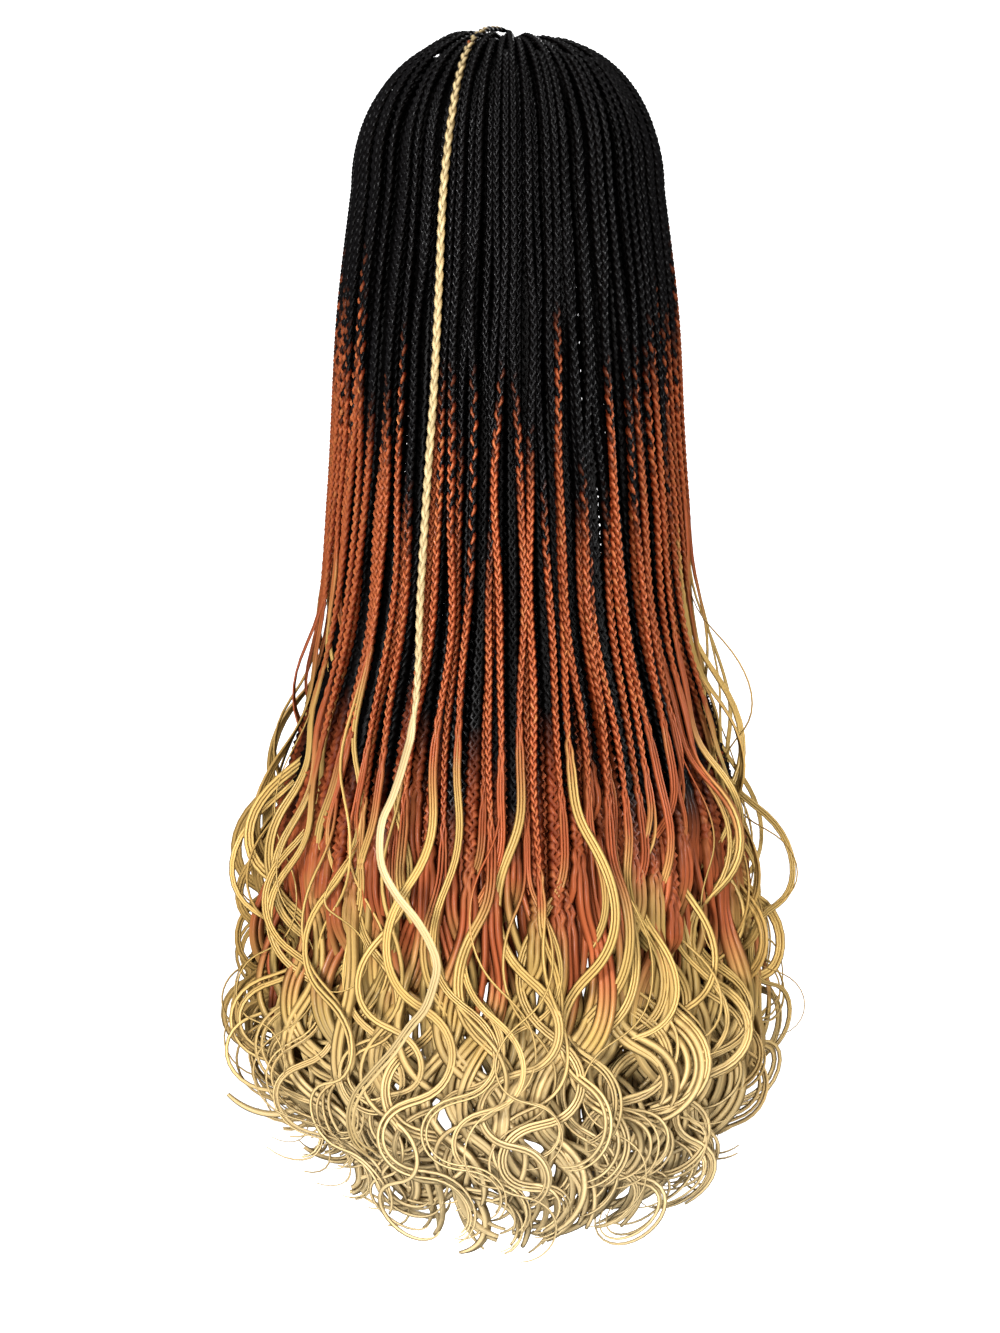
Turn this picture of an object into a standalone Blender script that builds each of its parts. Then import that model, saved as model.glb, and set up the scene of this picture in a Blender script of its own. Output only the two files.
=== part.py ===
"""Braid wig. Metres, +Z up. The back of the wig faces -Y, the face side +Y, and the origin is the seat on the
head's crown, at the top of the cap's inside. Azimuths are in degrees round Z, from 0 at the back centre, and a
station runs along the hair: 0 at the roots, 1 at brow level, 2 where the braiding ends."""

import math

import bmesh
import bpy
from mathutils import Vector
from mathutils.bvhtree import BVHTree

# The head hollow, and the cap's wall round it
HEAD_HALF_WIDTH = 0.077
HEAD_HALF_LENGTH = 0.095
HEAD_CROWN_HEIGHT = 0.095
CAP_WALL = 0.002
BROW_Z = -HEAD_CROWN_HEIGHT

# The outer surface of the braids over the crown
DOME_HALF_WIDTH = 0.106
DOME_HALF_LENGTH = 0.124
DOME_HEIGHT = 0.1035
DOME_FULLNESS = 2.5
FRONT_FULLNESS = 2.1
FRONT_SHARE = 0.87

# The whorl at the crown, and the parting that runs forward from it
WHORL_Y = -0.005
WHORL_RADIUS = 0.008
WHORL_AZIMUTH = 68.0
PARTING_END_Y = 0.074
PARTING_HALF_GAP = 0.0035

# The outer layer, in rows of braids
FACE_EDGE_AZIMUTH = 150.0
OUTER_ROWS = 16
BRAIDS_PER_ROW = 3
OUTER_STATIONS = (0.0, 0.12, 0.30, 0.55, 0.78, 1.0, 1.5, 1.8, 2.0)
BRAID_THICKNESS = 0.009
ROOT_THICKNESS = 0.0035
SEAT_GAP = 0.0010
SEWN_GAP = 0.0003
SEWN_ROUNDS = 4
RISE_LENGTH = 0.040
ROW_GAP = 0.0012
RIB_DEPTH = 0.003
CLOSING_SHARE = 0.10
CLOSING_DROP = 0.45

# How far each section of a row follows its roots down onto the cap, from the first section on
OUTER_SEWN_SHARES = (1.0, 1.0, 0.4)
INNER_SEWN_SHARES = (1.0, 0.3)

# The inner layer, which starts lower on the cap
INNER_ROWS = 7
INNER_EDGE_AZIMUTH = 119.0
INNER_STATIONS = (0.0, 0.4, 0.75, 1.0, 1.5, 1.8, 2.0)
INNER_ROOT_POLAR = 50.0
INNER_ROOT_THICKNESS = 0.004
INNER_SEAT_GAP = 0.0013
INNER_THICKNESS = 0.007
INNER_DEPTH = 0.0208
INNER_ROW_GAP = 0.004

# The loose curls in which each braid ends
CURL_OVERLAP = 0.016
CURL_STEP = 0.029
CURL_RADIUS = 0.0060
CURL_TIP_RADIUS = 0.0016
CURL_PITCH = 0.160
CURL_PHASE_LOBES = 2
CURL_GROWTH = 0.13
CURL_SWING = 0.0185
CURL_DEPTH_SWING = 0.017
CURL_LIFT = 0.010
CURL_LAYER = 0.0080
CURL_RAGGED = 0.012
INNER_CURL_RADIUS = 0.0066
INNER_CURL_DEPTH = 0.018
INNER_CURL_SHARE = 0.90

# The single blonde braid on top
HIGHLIGHT_RADIUS = 0.0029
HIGHLIGHT_WAIST = 0.0021
HIGHLIGHT_CLEARANCE = 0.0012
HIGHLIGHT_LOBE = 0.018
HIGHLIGHT_TIP_RADIUS = 0.0012
EDGE_SAMPLES = 6

# Half sizes of the hanging hair's outer surface, by height
HANGING = (
    # z, half width, half depth
    (BROW_Z, 0.106, 0.124),
    (-0.170, 0.115, 0.129),
    (-0.300, 0.123, 0.132),
    (-0.400, 0.134, 0.136),
    (-0.460, 0.149, 0.142),
    (-0.520, 0.164, 0.148),
    (-0.600, 0.172, 0.152),
    (-0.680, 0.170, 0.149),
    (-0.740, 0.146, 0.130),
    (-0.800, 0.110, 0.096),
)

# Where the braiding ends and how far the curls fall below it
LENGTHS = (
    # azimuth, z of the braid's end, length of the curl
    (0.0, -0.470, 0.316),
    (45.0, -0.450, 0.312),
    (90.0, -0.415, 0.312),
    (150.0, -0.430, 0.285),
)

# Where the cap's rim lies, as an angle down from the crown
CAP_RIM = (
    # azimuth, polar angle
    (0.0, 127.0),
    (35.0, 122.0),
    (62.0, 108.0),
    (82.0, 97.0),
    (105.0, 103.0),
    (130.0, 82.0),
    (155.0, 67.0),
    (180.0, 63.0),
)

# The highlight braid's line over the crown, as seen from above
HIGHLIGHT_CROWN = (
    # x, y
    (0.0010, -0.0050),
    (-0.0030, -0.0090),
    (-0.0090, -0.0240),
    (-0.0160, -0.0470),
    (-0.0255, -0.0774),
    (-0.0315, -0.0980),
    (-0.0380, -0.1140),
)

# The highlight braid's line down the back, as seen from behind
HIGHLIGHT_BACK = (
    # x, z
    (-0.0412, -0.103),
    (-0.0444, -0.170),
    (-0.0477, -0.237),
    (-0.0524, -0.304),
    (-0.0564, -0.371),
    (-0.0612, -0.438),
)

# Its loose curl
HIGHLIGHT_CURL = (
    # x, z, distance out from the hanging surface
    (-0.0670, -0.466, 0.010),
    (-0.0820, -0.492, 0.022),
    (-0.0950, -0.522, 0.030),
    (-0.0960, -0.553, 0.034),
    (-0.0800, -0.582, 0.036),
    (-0.0560, -0.606, 0.036),
    (-0.0460, -0.636, 0.034),
    (-0.0560, -0.664, 0.034),
    (-0.0740, -0.684, 0.036),
)

COLOURS = {
    # name: (base colour, roughness)
    "copper_braid": ((0.105, 0.038, 0.020), 0.5),
    "black_braid": ((0.012, 0.011, 0.013), 0.45),
    "blonde_braid": ((0.60, 0.42, 0.20), 0.5),
    "cap_fabric": ((0.010, 0.010, 0.011), 0.8),
}


def smooth_step(share):
    share = min(1.0, max(0.0, share))
    return share * share * (3.0 - 2.0 * share)


def blend(first, second, share):
    return first + (second - first) * share


def cubic(before, low, high, after, column, share):
    """One column between two rows of a table, on a cubic whose slopes come from the rows round them."""
    step = high[0] - low[0]
    slope_low = (high[column] - before[column]) / (high[0] - before[0]) * step
    slope_high = (after[column] - low[column]) / (after[0] - low[0]) * step
    square = share * share
    cube = square * share
    return (
        (2.0 * cube - 3.0 * square + 1.0) * low[column]
        + (cube - 2.0 * square + share) * slope_low
        + (3.0 * square - 2.0 * cube) * high[column]
        + (cube - square) * slope_high
    )


def from_table(table, at):
    """The other columns of a table at a value of its first one."""
    rows = table if table[0][0] < table[-1][0] else table[::-1]
    at = min(max(at, rows[0][0]), rows[-1][0])
    place = next(index for index in range(1, len(rows)) if at <= rows[index][0])
    low, high = rows[place - 1], rows[place]
    before = rows[max(place - 2, 0)]
    after = rows[min(place + 1, len(rows) - 1)]
    share = (at - low[0]) / (high[0] - low[0])
    columns = range(1, len(low))
    return [cubic(before, low, high, after, column, share) for column in columns]


def dome_z(x, y, outwards=0.0):
    """Height of the outer surface over a point seen from above, or of one a distance outside it."""
    half_length = (DOME_HALF_LENGTH + outwards) * (FRONT_SHARE if y > 0.0 else 1.0)
    radius = math.hypot(x / (DOME_HALF_WIDTH + outwards), y / half_length)
    fullness = blend(DOME_FULLNESS, FRONT_FULLNESS, smooth_step(y / PARTING_END_Y))
    left = max(1.0 - radius**fullness, 0.0)
    return BROW_Z + (DOME_HEIGHT + outwards) * math.sqrt(left)


def cap_z(x, y, stand_off):
    """Height of a surface at a distance outside the head hollow."""
    across = x / (HEAD_HALF_WIDTH + stand_off)
    along = y / (HEAD_HALF_LENGTH + stand_off)
    left = max(1.0 - across**2 - along**2, 0.0)
    return BROW_Z + (HEAD_CROWN_HEIGHT + stand_off) * math.sqrt(left)


def root_of(azimuth):
    """Where the braids at an azimuth start, seen from above: round the whorl, or along the parting."""
    turn = abs(azimuth)
    if turn <= WHORL_AZIMUTH:
        angle = math.radians(90.0 * turn / WHORL_AZIMUTH)
        x = WHORL_RADIUS * math.sin(angle)
        y = WHORL_Y - WHORL_RADIUS * math.cos(angle)
    else:
        share = (turn - WHORL_AZIMUTH) / (FACE_EDGE_AZIMUTH - WHORL_AZIMUTH)
        x = blend(WHORL_RADIUS, PARTING_HALF_GAP, smooth_step(2.0 * share))
        y = blend(WHORL_Y, PARTING_END_Y, share)
    return math.copysign(x, azimuth), y


def over_crown(azimuth, station):
    """A point on the outer surface between the roots and brow level, and how far the braid there has risen."""
    root_x, root_y = root_of(azimuth)
    angle = math.radians(azimuth)
    half_length = DOME_HALF_LENGTH * (FRONT_SHARE if math.cos(angle) < 0.0 else 1.0)
    along = math.sin(0.5 * math.pi * station)
    x = blend(root_x, DOME_HALF_WIDTH * math.sin(angle), along)
    y = blend(root_y, -half_length * math.cos(angle), along)
    risen = smooth_step(math.hypot(x - root_x, y - root_y) / RISE_LENGTH)
    low = cap_z(x, y, CAP_WALL + SEAT_GAP + ROOT_THICKNESS)
    return Vector((x, y, blend(low, dome_z(x, y), risen))), risen


def hanging(azimuth, z, outwards=0.0):
    """A point on the hanging hair's outer surface, or a distance outside it."""
    half_width, half_depth = from_table(HANGING, z)
    closed = CLOSING_SHARE * smooth_step((BROW_Z - z) / CLOSING_DROP)
    angle = math.radians(azimuth * (1.0 + closed))
    share = FRONT_SHARE if math.cos(angle) < 0.0 else 1.0
    x = (half_width + outwards) * math.sin(angle)
    y = -(half_depth * share + outwards) * math.cos(angle)
    return Vector((x, y, z))


def hanging_level(azimuth, station):
    end_z, _ = from_table(LENGTHS, abs(azimuth))
    return blend(BROW_Z, end_z, station - 1.0)


def outer_side(azimuth, station):
    """The outer layer's outer surface."""
    if station <= 1.0:
        return over_crown(azimuth, station)[0]
    return hanging(azimuth, hanging_level(azimuth, station))


def outer_thickness(azimuth, station):
    risen = over_crown(azimuth, min(station, 1.0))[1]
    return blend(ROOT_THICKNESS, BRAID_THICKNESS, risen)


def inner_side(azimuth, station):
    """The inner layer's inner surface, which lies on the cap at its roots."""
    if station > 1.0:
        return hanging(azimuth, hanging_level(azimuth, station), -INNER_DEPTH)
    polar = math.radians(blend(INNER_ROOT_POLAR, 90.0, station))
    angle = math.radians(azimuth)
    seat = CAP_WALL + INNER_SEAT_GAP
    on_cap = Vector(
        (
            (HEAD_HALF_WIDTH + seat) * math.sin(polar) * math.sin(angle),
            -(HEAD_HALF_LENGTH + seat) * math.sin(polar) * math.cos(angle),
            BROW_Z + (HEAD_CROWN_HEIGHT + seat) * math.cos(polar),
        )
    )
    brow = hanging(azimuth, BROW_Z, -INNER_DEPTH)
    clear = brow - Vector((on_cap.x, on_cap.y, 0.0)) / math.sin(polar)
    return on_cap + Vector((clear.x, clear.y, 0.0)) * smooth_step(station)


def outward(surface, azimuth, station):
    """The outward normal of a surface."""
    small = 0.01
    before = max(station - small, 0.0)
    along = surface(azimuth, station + small) - surface(azimuth, before)
    across = surface(azimuth + small, station) - surface(azimuth - small, station)
    return along.cross(across).normalized()


def outer_section(first, last, station):
    """One closed outline of a row of braids: ribbed outside, flat inside."""
    width = (outer_side(last, station) - outer_side(first, station)).length
    inset = 0.5 * ROW_GAP / width
    thickness = outer_thickness(0.5 * (first + last), station)
    rib = RIB_DEPTH * thickness / BRAID_THICKNESS
    steps = 2 * BRAIDS_PER_ROW
    outline = [(inset, 0.5 * thickness)]
    for step in range(1, steps):
        across = blend(inset, 1.0 - inset, step / steps)
        outline.append((across, 0.0 if step % 2 else rib))
    outline.append((1.0 - inset, 0.5 * thickness))
    outline.append((1.0 - inset - 0.5 / steps, thickness))
    outline.append((inset + 0.5 / steps, thickness))
    section = []
    for across, depth in outline:
        azimuth = blend(first, last, across)
        out = outward(outer_side, azimuth, station)
        section.append(outer_side(azimuth, station) - out * depth)
    return section


def inner_section(first, last, station):
    """One closed outline of an inner row, flat on both sides with rounded edges."""
    width = (inner_side(last, station) - inner_side(first, station)).length
    inset = 0.5 * INNER_ROW_GAP / width
    thickness = blend(INNER_ROOT_THICKNESS, INNER_THICKNESS, min(station, 1.0))
    outline = (
        (inset, 0.5 * thickness),
        (inset + 0.12, 0.0),
        (0.5, 0.0),
        (1.0 - inset - 0.12, 0.0),
        (1.0 - inset, 0.5 * thickness),
        (1.0 - inset - 0.12, thickness),
        (inset + 0.12, thickness),
    )
    section = []
    for across, height in outline:
        azimuth = blend(first, last, across)
        out = outward(inner_side, azimuth, station)
        section.append(inner_side(azimuth, station) + out * height)
    return section


def new_object(name, mesh, material):
    made = bpy.data.objects.new(name, mesh)
    mesh.materials.append(material)
    WIG.objects.link(made)
    return made


def lofted(name, sections):
    """A closed mesh through closed outlines that all have the same number of points."""
    shape = bmesh.new()
    rings = [[shape.verts.new(point) for point in section] for section in sections]
    for ring, following in zip(rings, rings[1:]):
        for here, vertex in enumerate(ring):
            beside = (here + 1) % len(ring)
            shape.faces.new((vertex, ring[beside], following[beside], following[here]))
    shape.faces.new(rings[0][::-1])
    shape.faces.new(rings[-1])
    bmesh.ops.triangulate(shape, faces=shape.faces)
    bmesh.ops.recalc_face_normals(shape, faces=shape.faces)
    mesh = bpy.data.meshes.new(name)
    shape.to_mesh(mesh)
    shape.free()
    return mesh


def edge_points(mesh):
    """Points along every edge of a mesh."""
    corners = [vertex.co for vertex in mesh.vertices]
    for edge in mesh.edges:
        start, end = (corners[index] for index in edge.vertices)
        for step in range(EDGE_SAMPLES):
            yield start.lerp(end, step / EDGE_SAMPLES)


def tree_of(mesh):
    corners = [vertex.co for vertex in mesh.vertices]
    return BVHTree.FromPolygons(corners, [face.vertices for face in mesh.polygons])


def gap_between(first, second):
    """The smallest distance between two meshes that don't meet."""
    gap = math.inf
    for mesh, other in ((first, tree_of(second)), (second, tree_of(first))):
        for point in edge_points(mesh):
            nearest = other.find_nearest(point, gap + SEAT_GAP)
            if nearest[0] is not None:
                gap = min(gap, nearest[3])
    return gap


def sewn_to_cap(name, sections, out, shares, cap):
    """A lofted row whose roots are lowered until they lie against the cap."""
    for _ in range(SEWN_ROUNDS):
        drop = gap_between(lofted(name, sections), cap) - SEWN_GAP
        for rank, share in enumerate(shares):
            sections[rank] = [point - out * drop * share for point in sections[rank]]
    return lofted(name, sections)


def tube(name, points, radii):
    """A closed mesh tube along points, with a radius at each."""
    curve = bpy.data.curves.new(name, "CURVE")
    curve.dimensions = "3D"
    curve.bevel_depth = 1.0
    curve.bevel_resolution = 0
    curve.use_fill_caps = True
    line = curve.splines.new("POLY")
    line.points.add(len(points) - 1)
    for place, point, radius in zip(line.points, points, radii):
        place.co = (*point, 1.0)
        place.radius = radius
    guide = bpy.data.objects.new(name + "_line", curve)
    bpy.context.scene.collection.objects.link(guide)
    bpy.context.view_layer.update()
    evaluated = guide.evaluated_get(bpy.context.evaluated_depsgraph_get())
    mesh = bpy.data.meshes.new_from_object(evaluated)
    bpy.data.objects.remove(guide)
    bpy.data.curves.remove(curve)
    shape = bmesh.new()
    shape.from_mesh(mesh)
    bmesh.ops.remove_doubles(shape, verts=shape.verts, dist=0.00001)
    bmesh.ops.recalc_face_normals(shape, faces=shape.faces)
    shape.to_mesh(mesh)
    shape.free()
    mesh.name = name
    return mesh


def curl_point(azimuth, drop, start_z, start_depth, layer):
    """A point of a loose curl. One smooth field of turns moves all curls, so that neighbours never cross."""
    z = start_z - drop
    grown = smooth_step(drop / CURL_GROWTH)
    lobes = CURL_PHASE_LOBES * math.radians(azimuth)
    turn = 2.0 * math.pi * drop / CURL_PITCH + lobes
    half_width, _ = from_table(HANGING, z)
    swing = math.degrees(CURL_SWING / half_width) * grown * math.sin(turn)
    depth = CURL_DEPTH_SWING * (math.cos(turn) - 0.35) + layer
    place = hanging(azimuth + swing, z, start_depth + depth * grown)
    return place + Vector((0.0, 0.0, CURL_LIFT * grown * math.cos(turn + 0.8)))


def curl(name, azimuth, number, start_depth, layer, radius, length_share=1.0):
    """One loose curl, from just inside its braid's end to its tip."""
    end_z, length = from_table(LENGTHS, abs(azimuth))
    ragged = CURL_RAGGED * math.sin(2.4 * number)
    total = (length + ragged) * length_share + CURL_OVERLAP
    drops = [CURL_STEP * step for step in range(int(total / CURL_STEP) + 1)]
    drops[-1] = total
    points = [
        curl_point(azimuth, drop, end_z + CURL_OVERLAP, start_depth, layer)
        for drop in drops
    ]
    radii = [blend(radius, CURL_TIP_RADIUS, (drop / total) ** 2) for drop in drops]
    return tube(name, points, radii)


def join_to(target, mesh):
    """Joins a mesh to an object with a Boolean union, from a hidden helper."""
    helper = bpy.data.objects.new(mesh.name, mesh)
    helper.hide_render = True
    helper.display_type = "WIRE"
    HELPERS.objects.link(helper)
    union = target.modifiers.new(mesh.name, "BOOLEAN")
    union.operation = "UNION"
    union.solver = "EXACT"
    union.object = helper


def build_outer_rows(material, cap):
    """Rows of braids fused side by side, each braid ending in a loose curl."""
    step = 2.0 * FACE_EDGE_AZIMUTH / OUTER_ROWS
    for number in range(OUTER_ROWS):
        name = f"outer_braids_{number + 1:02d}"
        first = -FACE_EDGE_AZIMUTH + step * number
        last = first + step
        sections = [outer_section(first, last, station) for station in OUTER_STATIONS]
        out = outward(outer_side, 0.5 * (first + last), OUTER_STATIONS[1])
        mesh = sewn_to_cap(name, sections, out, OUTER_SEWN_SHARES, cap)
        row = new_object(name, mesh, material)
        for braid in range(BRAIDS_PER_ROW):
            azimuth = blend(first, last, (braid + 0.5) / BRAIDS_PER_ROW)
            index = number * BRAIDS_PER_ROW + braid
            layer = CURL_LAYER if index % 2 else -CURL_LAYER
            depth = -0.5 * BRAID_THICKNESS
            label = f"{name}_curl_{braid + 1}"
            join_to(row, curl(label, azimuth, index, depth, layer, CURL_RADIUS))


def build_inner_rows(material, cap):
    """Wider plain rows under the outer ones, each ending in two thick curls."""
    step = 2.0 * INNER_EDGE_AZIMUTH / INNER_ROWS
    depth = -INNER_DEPTH + 0.5 * INNER_THICKNESS
    for number in range(INNER_ROWS):
        name = f"inner_braids_{number + 1:02d}"
        first = -INNER_EDGE_AZIMUTH + step * number
        last = first + step
        sections = [inner_section(first, last, station) for station in INNER_STATIONS]
        out = outward(inner_side, 0.5 * (first + last), INNER_STATIONS[0])
        mesh = sewn_to_cap(name, sections, out, INNER_SEWN_SHARES, cap)
        row = new_object(name, mesh, material)
        for half in range(2):
            azimuth = blend(first, last, 0.25 + 0.5 * half)
            join_to(
                row,
                curl(
                    f"{name}_curl_{half + 1}",
                    azimuth,
                    2 * number + half,
                    depth,
                    -INNER_CURL_DEPTH,
                    INNER_CURL_RADIUS,
                    INNER_CURL_SHARE,
                ),
            )


def on_back(x, z, outwards):
    """A point outside the hanging surface, from how it looks from behind."""
    half_width, half_depth = from_table(HANGING, z)
    across = x / (half_width + outwards)
    y = -(half_depth + outwards) * math.sqrt(1.0 - across**2)
    return Vector((x, y, z))


def build_highlight_braid(material):
    """The blonde braid over the crown and down the back, narrowed between its lobes, and its loose curl."""
    lift = HIGHLIGHT_RADIUS + HIGHLIGHT_CLEARANCE
    crown = [Vector((x, y, dome_z(x, y, lift))) for x, y in HIGHLIGHT_CROWN]
    guide = crown + [on_back(x, z, lift) for x, z in HIGHLIGHT_BACK]
    points = []
    for start, end in zip(guide, guide[1:]):
        pieces = max(1, 2 * round((end - start).length / HIGHLIGHT_LOBE))
        points += [start.lerp(end, piece / pieces) for piece in range(pieces)]
    radii = [HIGHLIGHT_WAIST if index % 2 else HIGHLIGHT_RADIUS for index in range(len(points))]
    tail = [on_back(x, z, outwards) for x, z, outwards in HIGHLIGHT_CURL]
    for index, point in enumerate([guide[-1]] + tail):
        points.append(point)
        radii.append(blend(HIGHLIGHT_RADIUS, HIGHLIGHT_TIP_RADIUS, index / len(tail)))
    new_object("highlight_braid", tube("highlight_braid", points, radii), material)


def build_cap(material):
    """A sphere's upper half, drawn down to the rim line and walled outside the head hollow. Returns its mesh."""
    shape = bmesh.new()
    bmesh.ops.create_uvsphere(shape, u_segments=20, v_segments=10, radius=1.0)
    lower = [vertex for vertex in shape.verts if vertex.co.z < -0.01]
    bmesh.ops.delete(shape, geom=lower, context="VERTS")
    for vertex in shape.verts:
        azimuth = math.degrees(math.atan2(vertex.co.x, -vertex.co.y))
        (rim,) = from_table(CAP_RIM, abs(azimuth))
        polar = math.radians(rim) * math.acos(min(1.0, vertex.co.z)) / (0.5 * math.pi)
        turn = math.radians(azimuth)
        vertex.co = (
            HEAD_HALF_WIDTH * math.sin(polar) * math.sin(turn),
            -HEAD_HALF_LENGTH * math.sin(polar) * math.cos(turn),
            BROW_Z + HEAD_CROWN_HEIGHT * math.cos(polar),
        )
    bmesh.ops.recalc_face_normals(shape, faces=shape.faces)
    mesh = bpy.data.meshes.new("cap")
    shape.to_mesh(mesh)
    shape.free()
    cap = new_object("cap", mesh, material)
    wall = cap.modifiers.new("wall", "SOLIDIFY")
    wall.thickness = CAP_WALL
    wall.offset = 1.0
    bpy.context.view_layer.update()
    evaluated = cap.evaluated_get(bpy.context.evaluated_depsgraph_get())
    return bpy.data.meshes.new_from_object(evaluated)


def build_crown_knot(material, cap):
    """The knob of wrapped roots that closes the whorl."""
    half = Vector((0.0048, 0.0048, 0.0021))
    shape = bmesh.new()
    bmesh.ops.create_uvsphere(shape, u_segments=10, v_segments=6, radius=1.0)
    bmesh.ops.scale(shape, vec=half, verts=shape.verts)
    seat = Vector((0.0, WHORL_Y, CAP_WALL + SEAT_GAP + half.z))
    bmesh.ops.translate(shape, vec=seat, verts=shape.verts)
    mesh = bpy.data.meshes.new("crown_knot")
    shape.to_mesh(mesh)
    shape.free()
    drop = gap_between(mesh, cap) - SEWN_GAP
    for vertex in mesh.vertices:
        vertex.co.z -= drop
    new_object("crown_knot", mesh, material)


def reset_scene():
    for leftover in list(bpy.data.objects):
        bpy.data.objects.remove(leftover)


def new_collection(name):
    made = bpy.data.collections.new(name)
    bpy.context.scene.collection.children.link(made)
    return made


def new_material(name):
    colour, roughness = COLOURS[name]
    material = bpy.data.materials.new(name)
    material.use_nodes = True
    shader = material.node_tree.nodes["Principled BSDF"]
    shader.inputs["Base Color"].default_value = (*colour, 1.0)
    shader.inputs["Roughness"].default_value = roughness
    shader.inputs["Metallic"].default_value = 0.0
    return material


reset_scene()
WIG = new_collection("braid_wig")
HELPERS = new_collection("helpers")
MATERIALS = {name: new_material(name) for name in COLOURS}
CAP_MESH = build_cap(MATERIALS["cap_fabric"])
build_crown_knot(MATERIALS["black_braid"], CAP_MESH)
build_outer_rows(MATERIALS["copper_braid"], CAP_MESH)
build_inner_rows(MATERIALS["black_braid"], CAP_MESH)
build_highlight_braid(MATERIALS["blonde_braid"])
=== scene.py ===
"""Looks for the braid wig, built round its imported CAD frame. Metres, +Z up. The back of the wig
faces -Y and the origin is the seat on the head's crown. Azimuths are in degrees round Z, from 0
at the back centre. A station runs from 0 at the whorl or the parting to 1 at brow level. Shades
run from 0, black, over 1, copper, to 2, blonde, and on to the highlight braid's."""

import math

import bmesh
import bpy
import numpy as np
from bpy.props import FloatProperty, FloatVectorProperty, IntProperty, PointerProperty
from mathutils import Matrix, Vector


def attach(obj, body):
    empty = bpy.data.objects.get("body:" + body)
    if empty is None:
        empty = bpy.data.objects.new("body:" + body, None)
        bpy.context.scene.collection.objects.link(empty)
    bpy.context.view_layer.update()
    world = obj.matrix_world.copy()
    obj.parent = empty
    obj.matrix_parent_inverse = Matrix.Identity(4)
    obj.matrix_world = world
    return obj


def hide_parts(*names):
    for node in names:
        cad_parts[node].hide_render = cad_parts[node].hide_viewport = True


bl_info = {
    "name": "Braid wig",
    "version": (1, 0, 0),
    "blender": (4, 5, 0),
    "location": "View3D > Sidebar > Braid Wig",
    "description": "Builds a braid wig's plaits, loose curls, cap and stage",
    "category": "Add Mesh",
}

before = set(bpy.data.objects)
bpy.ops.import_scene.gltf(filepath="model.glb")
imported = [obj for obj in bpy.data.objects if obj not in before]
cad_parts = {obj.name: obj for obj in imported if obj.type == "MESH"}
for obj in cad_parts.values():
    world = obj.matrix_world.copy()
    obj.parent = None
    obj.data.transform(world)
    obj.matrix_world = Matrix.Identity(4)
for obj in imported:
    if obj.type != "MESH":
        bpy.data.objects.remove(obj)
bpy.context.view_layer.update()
SEED = 7

# The head hollow and the cap's wall
HEAD_HALF = (0.077, 0.095, 0.095)
CAP_WALL = 0.002
BROW_Z = -HEAD_HALF[2]
CAP_TURNS = 96
CAP_RINGS = 40

# The hair's outer surface over the crown
DOME_HALF_WIDTH = 0.106
DOME_HALF_LENGTH = 0.124
DOME_HEIGHT = 0.1035
DOME_FULLNESS = 2.5
DIP = 0.0030
DIP_X = 0.020
DIP_WIDTH = 0.016
DIP_LENGTH = 0.04
FRONT_FULLNESS = 2.1
FRONT_SHARE = 0.87

# The whorl at the crown, and the parting that runs forward from it
WHORL_Y = -0.005
WHORL_RADIUS = 0.007
WHORL_AZIMUTH = 68.0
PARTING_END_Y = 0.074
PARTING_HALF_GAP = 0.003

# How far the hair reaches round the head
FACE_EDGE_AZIMUTH = 150.0
INNER_EDGE_AZIMUTH = 128.0
OUTER_PIECES = 16
INNER_PIECES = 7
CLOSING_SHARE = 0.10
CLOSING_DROP = 0.45

# The chance that an outer braid's curls and blonde start late, the depth past which they always
# do, and how much lower they then start
LATE_CHANCE = 0.55
LATE_DEPTH = 0.005
LATE_END = 0.045
LATE_BLONDE = 0.075

# The inner braids: their root station, their size, ribbons and painted light against an outer
# braid's (their crests are painted darker, as shade deep in the hair), the depths at which they
# lie, and the heights of their changes of shade and of their ends
INNER_ROOT = 0.22
INNER_SIZE = 1.45
INNER_RIBBON = 2.2
INNER_PAINTED_LIGHT = 0.35
INNER_DEPTHS = (0.0140, 0.0190)
INNER_COPPER_Z = -0.475
INNER_BLONDE_Z = -0.595
INNER_END_Z = -0.550

# The wide locks behind the inner curls, which close the gaps between them: how many a piece
# has, where they start and turn blonde, and half the width of one of their ribbons
BACKING_LOCKS = 5
BACKING_TOP = -0.50
BACKING_BLONDE_Z = -0.62
BACKING_DEPTH = 0.026
BACKING_RIBBON = 0.0040

# The highlight braid: its size against an outer braid's, its plait, its ribbons and corners,
# and how dark the lines between its strands are painted near its root: painted shade in its
# creases, which also stands for the black strands woven in there
HIGHLIGHT_SIZE = 0.86
HIGHLIGHT_PLAIT = 0.027
HIGHLIGHT_RIBBON = 0.85
HIGHLIGHT_CORNERS = 6
OUTLINE_DEPTH = 1.7

# Half sizes of the hanging hair's outer surface, by height
HANGING = (
    # z, half width, half depth
    (-0.840, 0.090, 0.078),
    (-0.800, 0.112, 0.098),
    (-0.740, 0.153, 0.134),
    (-0.680, 0.173, 0.150),
    (-0.600, 0.177, 0.154),
    (-0.520, 0.168, 0.150),
    (-0.460, 0.152, 0.143),
    (-0.400, 0.134, 0.136),
    (-0.300, 0.123, 0.132),
    (-0.170, 0.115, 0.129),
    (BROW_Z, 0.106, 0.124),
)

# Where the cap's rim lies, as an angle down from the crown
CAP_RIM = (
    # azimuth, polar angle
    (0.0, 127.0),
    (35.0, 122.0),
    (62.0, 108.0),
    (82.0, 97.0),
    (105.0, 103.0),
    (130.0, 82.0),
    (155.0, 67.0),
    (180.0, 63.0),
)

# The stations at which the outer braids leave the cap, and how deep each of those layers lies
ROOT_LAYERS = (
    # root station, depth under the outer surface
    (0.0, 0.0000),
    (0.34, 0.0058),
    (0.12, 0.0012),
    (0.50, 0.0072),
    (0.0, 0.0026),
    (0.26, 0.0004),
)

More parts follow.
